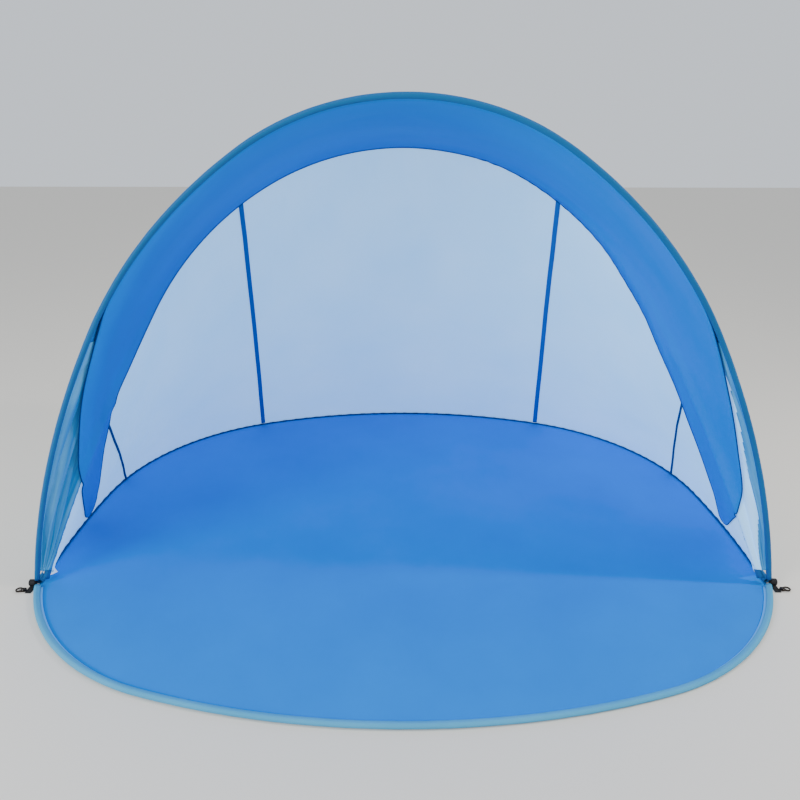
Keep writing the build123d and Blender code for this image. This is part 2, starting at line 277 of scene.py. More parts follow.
def build_weave_group():
    """Threads crossing over and under, cloudy dye, and soft creases, on coordinates in metres."""
    group = bpy.data.node_groups.new("Woven cloth", "ShaderNodeTree")
    face = group.interface
    for name, kind, value in (
        ("Place", "NodeSocketVector", None),
        ("Colour", "NodeSocketColor", (0.1, 0.3, 0.8, 1)),
        ("Shade", "NodeSocketColor", (0.05, 0.2, 0.6, 1)),
        ("Thread pitch", "NodeSocketFloat", 0.0008),
        ("Weave height", "NodeSocketFloat", 0.1),
        ("Crease height", "NodeSocketFloat", 0.2),
        ("Crease scale", "NodeSocketFloat", 9.0),
    ):
        socket = face.new_socket(name, in_out="INPUT", socket_type=kind)
        if value is not None:
            socket.default_value = value
    for name, kind in (
        ("Colour", "NodeSocketColor"),
        ("Roughness", "NodeSocketFloat"),
        ("Normal", "NodeSocketVector"),
    ):
        face.new_socket(name, in_out="OUTPUT", socket_type=kind)
    nodes, link = group.nodes, group.links.new
    given = nodes.new("NodeGroupInput")
    result = nodes.new("NodeGroupOutput")
    split = nodes.new("ShaderNodeSeparateXYZ")
    link(given.outputs["Place"], split.inputs[0])

    def math(kind, first, second=None):
        node = nodes.new("ShaderNodeMath")
        node.operation = kind
        for socket, value in zip(node.inputs, (first, second)):
            if isinstance(value, (int, float)):
                socket.default_value = value
            elif value is not None:
                link(value, socket)
        return node.outputs[0]

    turns = math("DIVIDE", pi, given.outputs["Thread pitch"])
    warp = math("SINE", math("MULTIPLY", split.outputs["X"], turns))
    weft = math("SINE", math("MULTIPLY", split.outputs["Y"], turns))
    weave = math("MULTIPLY", warp, weft)
    cloud = nodes.new("ShaderNodeTexNoise")
    cloud.inputs["Scale"].default_value = 3.5
    cloud.inputs["Detail"].default_value = 4
    link(given.outputs["Place"], cloud.inputs["Vector"])
    crease = nodes.new("ShaderNodeTexNoise")
    crease.inputs["Detail"].default_value = 5
    crease.inputs["Roughness"].default_value = 0.55
    crease.inputs["Distortion"].default_value = 0.6
    link(given.outputs["Place"], crease.inputs["Vector"])
    link(given.outputs["Crease scale"], crease.inputs["Scale"])
    blotch = math("MULTIPLY_ADD", cloud.outputs[0], 1.4)
    blotch.node.inputs[2].default_value = -0.2
    tone = math("ADD", blotch, math("MULTIPLY", weave, 0.12))
    tone.node.use_clamp = True
    mix = nodes.new("ShaderNodeMix")
    mix.data_type = "RGBA"
    link(tone, mix.inputs["Factor"])
    link(given.outputs["Colour"], mix.inputs[6])
    link(given.outputs["Shade"], mix.inputs[7])
    link(mix.outputs[2], result.inputs["Colour"])
    gloss = math("MULTIPLY_ADD", crease.outputs[0], 0.25)
    gloss.node.inputs[2].default_value = 0.58
    link(gloss, result.inputs["Roughness"])
    fine = nodes.new("ShaderNodeBump")
    fine.inputs["Distance"].default_value = 0.0004
    link(given.outputs["Weave height"], fine.inputs["Strength"])
    link(weave, fine.inputs["Height"])
    broad = nodes.new("ShaderNodeBump")
    broad.inputs["Distance"].default_value = 0.02
    link(given.outputs["Crease height"], broad.inputs["Strength"])
    link(crease.outputs[0], broad.inputs["Height"])
    link(fine.outputs[0], broad.inputs["Normal"])
    link(broad.outputs[0], result.inputs["Normal"])
    return group


WEAVE = build_weave_group()
CLOTH_SPECULAR = 0.10


def cloth(name, colour, shade, pitch=0.0008, weave=0.12, crease=0.12, scale=9.0, on_uv=True, painted_glow=0.0,
          painted_fold_streaks=None):
    """Dyed polyester. Its emission is painted light: the cloth gives off its own colour in place of the
    little daylight that thin cloth lets through. Its fold runs are painted highlights and painted shade:
    where the cloth hangs in long folds, long bands of noise mix the colour with the shade, and the stretch
    sets how finely they run along and across it."""
    material, nodes, link, surface, place = start_material(name, CLOTH_SPECULAR)
    woven = nodes.new("ShaderNodeGroup")
    woven.node_tree = WEAVE
    link(place.outputs["UV" if on_uv else "Object"], woven.inputs["Place"])
    woven.inputs["Colour"].default_value = paint(*colour)
    woven.inputs["Shade"].default_value = paint(*shade)
    # Painted highlights and painted shade of hanging folds: long bands of noise mix the colour with the
    # shade.
    if painted_fold_streaks:
        stretch = nodes.new("ShaderNodeMapping")
        stretch.inputs["Scale"].default_value = painted_fold_streaks
        link(place.outputs["UV"], stretch.inputs["Vector"])
        runs = nodes.new("ShaderNodeTexNoise")
        runs.inputs["Scale"].default_value = 1
        runs.inputs["Detail"].default_value = 3
        link(stretch.outputs[0], runs.inputs["Vector"])
        painted_fold_light = spread_range(nodes, link, runs.outputs[0], "From", 0.36, 0.62)
        link(mix_paints(nodes, link, painted_fold_light, colour, shade), woven.inputs["Colour"])
    woven.inputs["Thread pitch"].default_value = pitch
    woven.inputs["Weave height"].default_value = weave
    woven.inputs["Crease height"].default_value = crease
    woven.inputs["Crease scale"].default_value = scale
    link(woven.outputs["Colour"], surface.inputs["Base Color"])
    link(woven.outputs["Roughness"], surface.inputs["Roughness"])
    link(woven.outputs["Normal"], surface.inputs["Normal"])
    # Painted light: the cloth gives off its own colour as emission, in place of daylight shining through
    # it.
    if painted_glow:
        link(woven.outputs["Colour"], surface.inputs["Emission Color"])
        surface.inputs["Emission Strength"].default_value = painted_glow
    return material


def metal(name, bright, dull, roughness):
    """Drawn steel with a cloudy surface and fine scratches."""
    material, nodes, link, surface, place = start_material(name)
    surface.inputs["Metallic"].default_value = 1
    cloud = nodes.new("ShaderNodeTexNoise")
    cloud.inputs["Scale"].default_value = 240
    cloud.inputs["Detail"].default_value = 5
    link(place.outputs["Object"], cloud.inputs["Vector"])
    link(mix_paints(nodes, link, cloud.outputs[0], bright, dull), surface.inputs["Base Color"])
    rough = spread_range(nodes, link, cloud.outputs[0], "To", roughness - 0.1, roughness + 0.15)
    link(rough, surface.inputs["Roughness"])
    link(add_bump(nodes, link, cloud.outputs[0], 0.15, 0.0003), surface.inputs["Normal"])
    return material


def keep_node(node, material):
    """A CAD node that stays as it is, with a better finish."""
    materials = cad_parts[node].data.materials
    materials.clear()
    materials.append(material)


def sleeve(name, path, gap, tail_lean, material):
    """A sewn tube: round where the rod is, drawn out to a flat seam on the side the cloth joins."""
    bm = bmesh.new()
    top = path["base"] + path["up"] * (path["arcs"][0][0].y + path["arcs"][0][1])
    back = Vector((1, 0, 0)).cross(path["up"]) * -1
    frame_at_top = Matrix((path["up"], back, path["up"].cross(back))).transposed().to_4x4()
    frame_at_top.translation = top
    bmesh.ops.create_circle(bm, segments=20, radius=SLEEVE_RADIUS, matrix=frame_at_top)
    tail = (path["up"] * sin(tail_lean) + back * cos(tail_lean)).normalized()
    for vert in bm.verts:
        out = (vert.co - top).normalized()
        reach = max(0, out.dot(tail)) ** 14
        vert.co = top + out * SLEEVE_RADIUS + tail * reach * (SEAM_REACH - SLEEVE_RADIUS)
    spin_along(bm, bm.verts[:] + bm.edges[:], path, gap)
    for vert in bm.verts:
        pucker = noise.noise(vert.co * 70) * 0.00022 + noise.noise(vert.co * 24) * 0.0003
        vert.co += vert.normal * pucker
    piece = place_piece(name, bm, [material])
    thicken(piece, SLEEVE_CLOTH)
    return piece


SLEEVE_BLUE = cloth("sleeve blue", (40, 106, 162), (30, 92, 146), on_uv=False, crease=0.05, scale=60)
EDGE_BLUE = cloth("edge sleeve blue", (84, 168, 208), (60, 148, 192), on_uv=False, crease=0.05, scale=60)
SPRUNG_STEEL = metal("sprung steel", (176, 180, 186), (128, 132, 140), 0.32)

mouth_sleeve = sleeve("mouth_arch_cloth", mouth_hoop(), 0.012, radians(-19), SLEEVE_BLUE)
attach(mouth_sleeve, "mouth_arch")
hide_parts("mouth_arch_sleeve")
rear_sleeve = sleeve("rear_arch_cloth", rear_hoop(), 0.012, radians(-60), SLEEVE_BLUE)
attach(rear_sleeve, "rear_arch")
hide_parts("rear_arch_sleeve")
back_sleeve = sleeve("back_edge_cloth", back_edge(SLEEVE_RADIUS), 0.010, radians(-75), SLEEVE_BLUE)
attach(back_sleeve, "ground")
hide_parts("rear_floor_sleeve")
front_sleeve = sleeve("front_edge_cloth", front_edge(SLEEVE_RADIUS), 0.012, radians(-80), EDGE_BLUE)
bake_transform(front_sleeve)
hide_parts("front_floor_sleeve")
for hoop_name in ("mouth_arch", "rear_arch", "rear_floor", "front_floor"):
    keep_node(f"{hoop_name}_rod", SPRUNG_STEEL)
    keep_node(f"{hoop_name}_ferrule", SPRUNG_STEEL)

# ---- Floor --------------------------------------------------------------------------------------
# One piece of coated blue cloth, cut to the outline of both floor hoops. It lies flat, with rows of
# cuts along the line between the corners, where the part in front of the mouth would fold up.
FLOOR_CLOTH = 0.0012
FLOOR_CELLS = 168
FOLD_Y = -0.008
FOLD_REACH = 0.012
FLOOR_MIDDLE = Vector((0, 0.36, 0))
CORNER_AIM = (Vector((HALF_WIDTH, 0, 0)) - FLOOR_MIDDLE).normalized()


def outline_reach(direction, edge_inset):
    """How far the floor's outline lies from its middle in a direction, found by halving."""
    path = back_edge(0, edge_inset) if direction.y > CORNER_AIM.y else front_edge(0, edge_inset)
    low, high = 0.0, 1.0
    for _ in range(26):
        share = (low + high) / 2
        out = on(path, share) - FLOOR_MIDDLE
        turn = direction.x * out.y - direction.y * out.x
        ahead = turn > 0 if path["up"].y > 0 else turn < 0
        low, high = (share, high) if ahead else (low, share)
    return (on(path, share) - FLOOR_MIDDLE).length


def floor_outline(edge_inset):
    """Reaches of the outline for evenly spaced directions, for looking up between."""
    count = 720
    turns = [tau * i / count for i in range(count)]
    return [outline_reach(Vector((cos(a), sin(a), 0)), edge_inset) for a in turns]


def look_up(reaches, turn):
    place = (turn % tau) / tau * len(reaches)
    first = int(place) % len(reaches)
    part = place - int(place)
    return reaches[first] * (1 - part) + reaches[(first + 1) % len(reaches)] * part


def write_uv(bm, places):
    layer = bm.loops.layers.uv.new("UVMap")
    for face in bm.faces:
        for loop in face.loops:
            loop[layer].uv = places[loop.vert.index]


def crumple(point, broad, fine):
    """Soft random creases: broad swells and finer ones on top, in metres."""
    return noise.noise(point * 3.1) * broad + noise.noise(point * 8.3 + Vector((5, 1, 2))) * fine


floor = bmesh.new()
bmesh.ops.create_grid(floor, x_segments=FLOOR_CELLS, y_segments=FLOOR_CELLS, size=1)
reaches = floor_outline(SLEEVE_RADIUS * 0.6)
for vert in floor.verts:
    x, y = vert.co.x, vert.co.y
    disc = Vector((x * (1 - y * y / 2) ** 0.5, y * (1 - x * x / 2) ** 0.5, 0))
    if disc.length > 0:
        disc *= look_up(reaches, atan2(disc.y, disc.x))
    vert.co = FLOOR_MIDDLE + disc
bmesh.ops.remove_doubles(floor, verts=floor.verts, dist=0.00005)
for cut in (-1, -0.5, 0, 0.5, 1):
    whole = floor.verts[:] + floor.edges[:] + floor.faces[:]
    level = (0, FOLD_Y + cut * FOLD_REACH, 0)
    bmesh.ops.bisect_plane(floor, geom=whole, dist=0.0002, plane_co=level, plane_no=(0, 1, 0))
floor_area = sum(face.calc_area() for face in floor.faces)
floor.verts.index_update()
write_uv(floor, {vert.index: (vert.co.x, vert.co.y) for vert in floor.verts})
for vert in floor.verts:
    out = vert.co - FLOOR_MIDDLE
    inner = 1 - out.length / look_up(reaches, atan2(out.y, out.x))
    ripple = 0.5 + 0.5 * noise.noise(Vector((vert.co.x * 1.7, vert.co.y * 6.5, 0)))
    swell = abs(crumple(vert.co, 0.0022, 0.0010)) + ripple * 0.0010
    vert.co.z = FLOOR_CLOTH + 0.0002 + swell * min(1, inner * 14)
bmesh.ops.recalc_face_normals(floor, faces=floor.faces)
if floor.faces[:][0].normal.z < 0:
    bmesh.ops.reverse_faces(floor, faces=floor.faces)
FLOOR_BLUE = cloth("floor blue", (0, 130, 222), (0, 118, 208), crease=0.12, scale=5, weave=0.1)
floor_piece = place_piece("floor", floor, [FLOOR_BLUE])
thicken(floor_piece, FLOOR_CLOTH)
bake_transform(floor_piece)
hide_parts("rear_floor_sheet", "front_floor_sheet")

# The front edge is closed by a folded light-blue tape, sewn down beside the sleeve.
HEM_WIDTH = 0.0085
HEM_LIFT = 0.0012
HEM_BLUE = cloth("hem blue", (116, 196, 246), (92, 178, 240), on_uv=False, crease=0.03, scale=50)
hem = bmesh.new()
hem_path = front_edge(FLOOR_CLOTH)
hem_apex = hem_path["base"] + hem_path["up"] * FRONT_DEPTH
hem_start = hem_apex - hem_path["up"] * SLEEVE_RADIUS
hem_profile = [hem_start + Vector((0, HEM_WIDTH * s, HEM_LIFT * (1 + 1.6 * sin(pi * s)))) for s in
               (0, 0.25, 0.5, 0.75, 1)]
hem_profile.append(hem_start + Vector((0, HEM_WIDTH * 1.02, 0.0004)))
hem_verts = [hem.verts.new(point) for point in hem_profile]
hem_edges = [hem.edges.new(pair) for pair in zip(hem_verts, hem_verts[1:])]
spin_along(hem, hem_verts + hem_edges, hem_path, 0.016)
if hem.faces[:][0].normal.z < 0:
    bmesh.ops.reverse_faces(hem, faces=hem.faces)
hem_piece = place_piece("front_hem", hem, [HEM_BLUE])
thicken(hem_piece, 0.0006)
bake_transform(hem_piece)
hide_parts("front_hem_tape")

# ---- Walls --------------------------------------------------------------------------------------
# Five gores of thin cloth with a silvered inside run from the rear arch to the back edge of the
# floor. They are drawn tight, so they pull in a little and pucker along their sewn edges.
SEAMS_TOP = (0.0, 0.146, 0.3575, 0.634, 0.820, 1.0)
SEAMS_FOOT = (0.0, 0.165, 0.3395, 0.655, 0.825, 1.0)
CORNER_SHARE = 0.012
WALL_CLOTH = 0.0009
TUCK = 0.004
MOUTH = mouth_hoop(forward=TUCK)
REAR = rear_hoop()
FOOT = back_edge(0.0055, SLEEVE_RADIUS)
INSIDE = Vector((0, 0.42, 0.38))
WALL_PULL = 0.009
SLEEVE_COVER = 0.0095
COVER_REACH = 0.026
LOW_SHARE = 0.15


def foot_share(share):
    """Where a line down the wall from the rear arch meets the floor's edge."""
    for i in range(len(SEAMS_TOP) - 1):
        if share <= SEAMS_TOP[i + 1]:
            break
    part = (share - SEAMS_TOP[i]) / (SEAMS_TOP[i + 1] - SEAMS_TOP[i])
    return SEAMS_FOOT[i] + part * (SEAMS_FOOT[i + 1] - SEAMS_FOOT[i])


def canopy_at(share, way):
    """The canopy's middle surface: way 0 is the mouth arch, 1 the rear arch and 2 the floor's edge."""
    if way <= 1:
        return on(MOUTH, share) * (1 - way) + on(REAR, share) * way
    return on(REAR, share) * (2 - way) + on(FOOT, foot_share(share)) * (way - 1)


def canopy_normal(share, way):
    """The direction inwards from the canopy at a place."""
    step = 0.003
    here = canopy_at(share, way)
    along = canopy_at(min(1, share + step), way) - canopy_at(max(0, share - step), way)
    down = canopy_at(share, way + step) - canopy_at(share, way - step)
    normal = along.cross(down).normalized()
    return normal if normal.dot(INSIDE - here) > 0 else -normal


def arch_cover(share, way):
    """How far cloth inside the rear arch stands off there, to pass over the arch's sleeve."""
    span = (canopy_at(share, 2 if way > 1 else 0) - canopy_at(share, 1)).length
    return SLEEVE_COVER * exp(-((way - 1) * span / COVER_REACH) ** 2)


def low_cover(share, way):
    """Below the band the cloth itself hides the rear arch."""
    low = min(1, max(0, (LOW_SHARE - min(share, 1 - share)) / 0.04))
    return low * arch_cover(share, way) if low else 0


def lifted(share, way, lift):
    return canopy_at(share, way) + canopy_normal(share, way) * lift


def fold_with_arches(piece):
    """Bakes where the piece stands into its mesh; the cloth is not turned with the arches."""
    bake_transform(piece)


def sheet_piece(name, place, size, cells, materials, thickness, flat_place=None):
    """A cloth piece from a grid: place(s, t) gives each point, flat_place the same without creases."""
    bm = bmesh.new()
    bmesh.ops.create_grid(bm, x_segments=cells[0], y_segments=cells[1], size=0.5)
    bm.verts.index_update()
    shares = {vert.index: (vert.co.x + 0.5, vert.co.y + 0.5) for vert in bm.verts}
    for vert in bm.verts:
        vert.co = (flat_place or place)(*shares[vert.index])
    area = sum(face.calc_area() for face in bm.faces)
    for vert in bm.verts:
        vert.co = place(*shares[vert.index])
    write_uv(bm, {i: (s * size[0], t * size[1]) for i, (s, t) in shares.items()})
    bm.normal_update()
    faces = bm.faces[:]
    inward = sum(face.normal.dot(INSIDE - face.calc_center_median()) > 0 for face in faces)
    if inward > len(faces) / 2:
        bmesh.ops.reverse_faces(bm, faces=bm.faces)
    piece = place_piece(name, bm, materials)
    thicken(piece, thickness, len(materials) - 1)
    return piece, area


# The silvered inside gives off its own colour strongly: painted light in place of daylight shining through
# the thin walls.
SILVERED = cloth("silvered cloth", (168, 216, 248), (146, 204, 244), crease=0.2, scale=7, painted_glow=0.80)
WALL_OUTSIDE = cloth("wall outside", (150, 196, 232), (132, 182, 224), crease=0.16, scale=7)


def wall_place(share, down, covers=True):
    """A point of the wall, pulled in, creased, and puckered near the sewn edges."""
    pull = WALL_PULL * sin(pi * down)
    at_edge = exp(-down * 14) + exp(-(1 - down) * 14)
    pucker = 0.0011 * at_edge * sin(share * 560 + 2 * noise.noise(Vector((share * 40, 0, 0))))
    base = canopy_at(share, 1 + down)
    held = min(1, 12 * down, 12 * (1 - down))
    creases = crumple(base, 0.0050, 0.0026) * held
    slant = (share - 0.20) * 6 + down
    band_pull = exp(-((share - 0.175) / 0.05) ** 2 - ((down - 0.6) / 0.28) ** 2)
    creases += 0.0030 * band_pull * sin(slant * 46)
    cover = low_cover(share, 1 + down) if covers else 0
    return base + canopy_normal(share, 1 + down) * (pull + creases + pucker + cover)


GORES = {
    "side_left_wall": (CORNER_SHARE, SEAMS_TOP[1], 44, 60),
    "rear_left_wall": (SEAMS_TOP[1], SEAMS_TOP[2], 84, 90),
    "back_wall": (SEAMS_TOP[2], SEAMS_TOP[3], 108, 90),
    "rear_right_wall": (SEAMS_TOP[3], SEAMS_TOP[4], 76, 90),
    "side_right_wall": (SEAMS_TOP[4], 1 - CORNER_SHARE, 52, 60),
}
for name, (first, last, across, down) in GORES.items():
    middle = (first + last) / 2
    width = max((on(REAR, first) - on(REAR, last)).length,
                (on(FOOT, foot_share(first)) - on(FOOT, foot_share(last))).length) * 1.03
    length = max((canopy_at(s, 1) - canopy_at(s, 2)).length for s in (first, middle, last))

    def place(s, t, first=first, last=last):
        return wall_place(first + (last - first) * s, t)

    def flat(s, t, first=first, last=last):
        return canopy_at(first + (last - first) * s, 1 + t)

    gore, area = sheet_piece(f"{name}_cloth", place, (width, length), (across, down),
                             [WALL_OUTSIDE, SILVERED], WALL_CLOTH, flat)
    min(area, width * length)
    fold_with_arches(gore)
    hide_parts(name)

# ---- Roof and gussets ---------------------------------------------------------------------------
# Blue cloth joins the two arches: the roof over the top, and a slack gusset down each side that
# gathers into upright folds towards the corner.
ROOF_START = 0.225
ROOF_BLUE = cloth("roof blue", (0, 132, 206), (0, 118, 190), crease=0.1, scale=8)
# Gusset inside: long light and dark runs are painted highlights and painted shade of its hanging folds, and
# a small emission is painted light in place of daylight through the cloth.
GUSSET_BLUE = cloth("gusset blue", (124, 208, 236), (18, 122, 184), crease=0.25, scale=14, painted_glow=0.16,
                    painted_fold_streaks=(2.2, 30, 1))
# The strip's inner edge on the right gusset, as (share along the hoops, way from mouth to rear arch).
GUSSET_STRIP = (
    (0.012, 0.62), (0.030, 0.52), (0.055, 0.42), (0.085, 0.34),
    (0.119, 0.27), (0.147, 0.22), (0.183, 0.19), (0.225, 0.14),
)
# Each fold is (place across, half width, depth in metres).
GUSSET_FOLDS = {
    "left_gusset": ((0.16, 0.060, 0.016), (0.38, 0.075, 0.020), (0.62, 0.080, 0.018), (0.85, 0.05, 0.010)),
    "right_gusset": ((0.20, 0.060, 0.012), (0.44, 0.070, 0.014), (0.70, 0.070, 0.012)),
}


def strip_edge(share):
    """How far back from the mouth the right gusset's blue strip reaches, before the pale lining."""
    for (first, start), (last, end) in zip(GUSSET_STRIP, GUSSET_STRIP[1:]):
        if share <= last:
            return start + (end - start) * (share - first) / (last - first)
    return GUSSET_STRIP[-1][1]


def roof_place(share, way):
    """The roof lies on the arches and swells outwards between them, clear of the band inside it."""
    held = min(1, 9 * way, 9 * (1 - way))
    base = canopy_at(share, way)
    at_edge = exp(-way * 16) + exp(-(1 - way) * 16)
    pucker = 0.0009 * at_edge * (sin(share * 620) - 1)
    return base + canopy_normal(share, way) * (pucker - abs(crumple(base, 0.005, 0.002)) * held)


def gusset_place(share, way, folds):
    """Upright folds that swell outwards, strongest half way up and gone at the sewn edges."""
    along = (share - CORNER_SHARE) / (ROOF_START - CORNER_SHARE)
    strength = sin(pi * min(1, along * 1.1)) ** 0.6 if along * 1.1 < 1 else 0
    lift = 0
    for centre, half, depth in folds:
        drift = centre + 0.06 * sin(along * 5 + centre * 9)
        lift -= depth * exp(-abs((way - drift) / half) ** 1.4)
    held = min(1, 9 * way, 9 * (1 - way))
    base = canopy_at(share, way)
    folded = held * (lift * strength - abs(crumple(base, 0.003, 0.002)))
    return base + canopy_normal(share, way) * (folded + low_cover(share, way))


roof_length = (on(MOUTH, ROOF_START) - on(MOUTH, 1 - ROOF_START)).length * 1.25
roof_depth = max((canopy_at(s, 0) - canopy_at(s, 1)).length for s in (0.3, 0.5))
roof, roof_area = sheet_piece(
    "roof", lambda s, t: roof_place(ROOF_START + (1 - 2 * ROOF_START) * s, t * 0.985),
    (roof_length, roof_depth), (190, 44), [ROOF_BLUE], WALL_CLOTH)
min(roof_area, roof_length * roof_depth)
fold_with_arches(roof)
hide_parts("roof_panel")

for name, folds in GUSSET_FOLDS.items():
    left = name.startswith("left")

    def place(s, t, left=left, folds=folds):
        share = CORNER_SHARE + (ROOF_START - CORNER_SHARE) * s
        point = gusset_place(share, t, folds)
        return point if left else Vector((-point.x, point.y, point.z))

    height = (on(MOUTH, CORNER_SHARE) - on(MOUTH, ROOF_START)).length
    depth = (canopy_at(ROOF_START, 0) - canopy_at(ROOF_START, 1)).length
    gusset, area = sheet_piece(f"{name}_cloth", place, (height, depth), (110, 60),
                               [ROOF_BLUE, GUSSET_BLUE, SILVERED], WALL_CLOTH)
    gusset.modifiers["thickness"].material_offset = 1
    uv = gusset.data.uv_layers[0].uv
    for face in gusset.data.polygons if not left else ():
        along, across = (sum(uv[i].vector[k] for i in face.loop_indices) / face.loop_total for k in (0, 1))
        share = CORNER_SHARE + (ROOF_START - CORNER_SHARE) * along / height
        face.material_index = int(across / depth > strip_edge(share))
    fold_with_arches(gusset)
    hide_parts(name)

# ---- Lining band --------------------------------------------------------------------------------
# A wide blue band lines the roof. At each side it narrows, leaves the roof, and runs down inside the
# side wall to a point near the floor. Its edges are bound in dark blue.
BAND_CLOTH = 0.0009
BAND_LIFT = 0.0050
BAND_LENGTH = 3.05      # cloth along the middle of the band, tip to tip
BAND_HALF_EDGE = 1.62   # stitched length of each edge, from a tip to the top
# Each station is (outer edge, inner edge), as (share along the hoops, way from mouth to floor).
LEFT_STATIONS = (
    ((0.0812, 1.90), (0.0826, 1.90)), ((0.0784, 1.84), (0.0880, 1.85)), ((0.0766, 1.72), (0.0931, 1.76)),
    ((0.0761, 1.50), (0.1007, 1.54)), ((0.0802, 1.24), (0.1116, 1.38)), ((0.0930, 0.92), (0.1251, 1.22)),
    ((0.1170, 0.65), (0.1418, 1.11)), ((0.1490, 0.40), (0.1650, 1.0)), ((0.1790, 0.24), (0.1910, 1.0)),
    ((0.2110, 0.14), (0.2180, 1.0)), ((0.2350, 0.07), (0.2460, 1.0)), ((0.2620, 0.0), (0.2750, 1.0)),
    ((0.32, 0.0), (0.32, 1.0)), ((0.38, 0.0), (0.38, 1.0)), ((0.44, 0.0), (0.44, 1.0)),
    ((0.5, 0.0), (0.5, 1.0)),
)
RIGHT_STATIONS = (
    ((0.0790, 1.83), (0.0808, 1.83)), ((0.0728, 1.745), (0.0868, 1.775)), ((0.0690, 1.60), (0.0906, 1.68)),
    ((0.0640, 1.30), (0.1009, 1.52)), ((0.0610, 1.00), (0.1140, 1.42)), ((0.0720, 0.76), (0.1314, 1.34)),
    ((0.0910, 0.52), (0.1527, 1.27)), ((0.1250, 0.36), (0.1784, 1.20)), ((0.1580, 0.235), (0.2034, 1.155)),
    ((0.1880, 0.15), (0.2253, 1.12)), ((0.2200, 0.06), (0.2542, 1.09)), ((0.2550, 0.0), (0.2847, 1.06)),
    ((0.32, 0.0), (0.3277, 1.03)), ((0.38, 0.0), (0.3811, 1.01)), ((0.44, 0.0), (0.44, 1.0)),
    ((0.5, 0.0), (0.5, 1.0)),
)


def smooth_between(points, part):
    """A point on the smooth curve through evenly spaced points (each a pair of numbers)."""
    place = min(max(part, 0), 1) * (len(points) - 1)
    i = min(int(place), len(points) - 2)
    u = place - i
    a = Vector(points[max(i - 1, 0)])
    b = Vector(points[i])
    c = Vector(points[i + 1])
    d = Vector(points[min(i + 2, len(points) - 1)])
    return 0.5 * (2 * b + (c - a) * u + (2 * a - 5 * b + 4 * c - d) * u * u
                  + (3 * b - 3 * c + d - a) * u ** 3)


def band_place(along, across, extra=0):
    """A point of the band: along 0 is the left tip and 1 the right tip, across 0 is the outer edge."""
    stations = LEFT_STATIONS if along <= 0.5 else RIGHT_STATIONS
    part = 2 * min(along, 1 - along)
    outer = smooth_between([station[0] for station in stations], part)
    inner = smooth_between([station[1] for station in stations], part)
    share, way = outer.lerp(inner, across)
    share = share if along <= 0.5 else 1 - share
    way = max(way, 0)
    lift = BAND_LIFT + arch_cover(share, way) + extra
    base = wall_place(share, way - 1, covers=False) if way > 1 else canopy_at(share, way)
    soft = crumple(base, 0.0016, 0.0008) * min(1, 6 * across, 6 * (1 - across))
    return base + canopy_normal(share, way) * (lift + soft)


def piping(name, points, radius, material):
    """A fine bound edge: a round cord of cloth along the points."""
    curve = bpy.data.curves.new(name, "CURVE")
    curve.dimensions = "3D"
    curve.bevel_depth = radius
    curve.bevel_resolution = 2
    curve.use_fill_caps = True
    spline = curve.splines.new("POLY")
    spline.points.add(len(points) - 1)
    for spot, point in zip(spline.points, points):
        spot.co = (*point, 1)
    route = bpy.data.objects.new(name, curve)
    mesh = bpy.data.meshes.new_from_object(route)
    bpy.data.objects.remove(route)
    mesh.materials.clear()
    mesh.materials.append(material)
    mesh.shade_smooth()
    piece = bpy.data.objects.new(name, mesh)
    bpy.context.collection.objects.link(piece)
    return piece


# The band gives off a little of its own colour: painted light in place of daylight through the cloth.
BAND_BLUE = cloth("band blue", (0, 136, 228), (0, 122, 212), crease=0.08, scale=8, painted_glow=0.04)
BINDING_BLUE = cloth("binding blue", (2, 70, 132), (0, 58, 116), on_uv=False, crease=0.03, scale=60)
band_width = max((canopy_at(s, 0) - canopy_at(s, 1)).length for s in (0.3, 0.5))
band, band_area = sheet_piece("lining_band", band_place, (BAND_LENGTH, band_width), (340, 20), [BAND_BLUE],
                              BAND_CLOTH)
fold_with_arches(band)
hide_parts("roof_band", "left_band_tail", "right_band_tail")
EDGE_POINTS = 360
inner_route = [band_place(i / EDGE_POINTS, 1) for i in range(EDGE_POINTS + 1)]
outer_route = [band_place(i / EDGE_POINTS, 0) for i in range(EDGE_POINTS + 1)]
inner_binding = piping("band_inner_binding", inner_route, 0.0021, BINDING_BLUE)
outer_binding = piping("band_outer_binding", outer_route, 0.0016, BINDING_BLUE)
fold_with_arches(inner_binding)
fold_with_arches(outer_binding)
min(band_area, BAND_LENGTH * band_width)

# A fine dark piping closes the line where the walls meet the floor.
wall_line = back_edge(0.0050, SLEEVE_RADIUS + 0.0035)
foot_points = [on(wall_line, 0.012 + 0.976 * i / 300) for i in range(301)]
foot_piping = piping("wall_foot_piping", foot_points, 0.0022, BINDING_BLUE)
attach(foot_piping, "ground")

# ---- Seam tapes ---------------------------------------------------------------------------------
# Folded tape covers each wall seam on the inside, sewn down both edges: wide blue tape on the two
# long seams, narrow navy tape on the two short ones.
TAPE_THICK = 0.0009
TAPE_BLUE = cloth("tape blue", (0, 106, 190), (0, 92, 174), crease=0.05, scale=30)
TAPE_NAVY = cloth("tape navy", (2, 76, 134), (0, 62, 116), crease=0.05, scale=30)


def tape_place(top, across, down, width, extra=0):
    """A point of a tape: across runs from -1 to 1 and down from the rear arch to the floor."""
    share = top + across * width / 2 / (2 * REAR["half"])
    crown = 0.0012 * (1 - across * across) + 0.0016
    down = 0.012 + down * 0.98
    pull = WALL_PULL * sin(pi * down)
    base = canopy_at(top, 1 + down)
    creases = crumple(base, 0.0050, 0.0026) * min(1, 12 * down, 12 * (1 - down))
    return lifted(share, min(1 + down, 1.999), pull + creases + crown + extra)


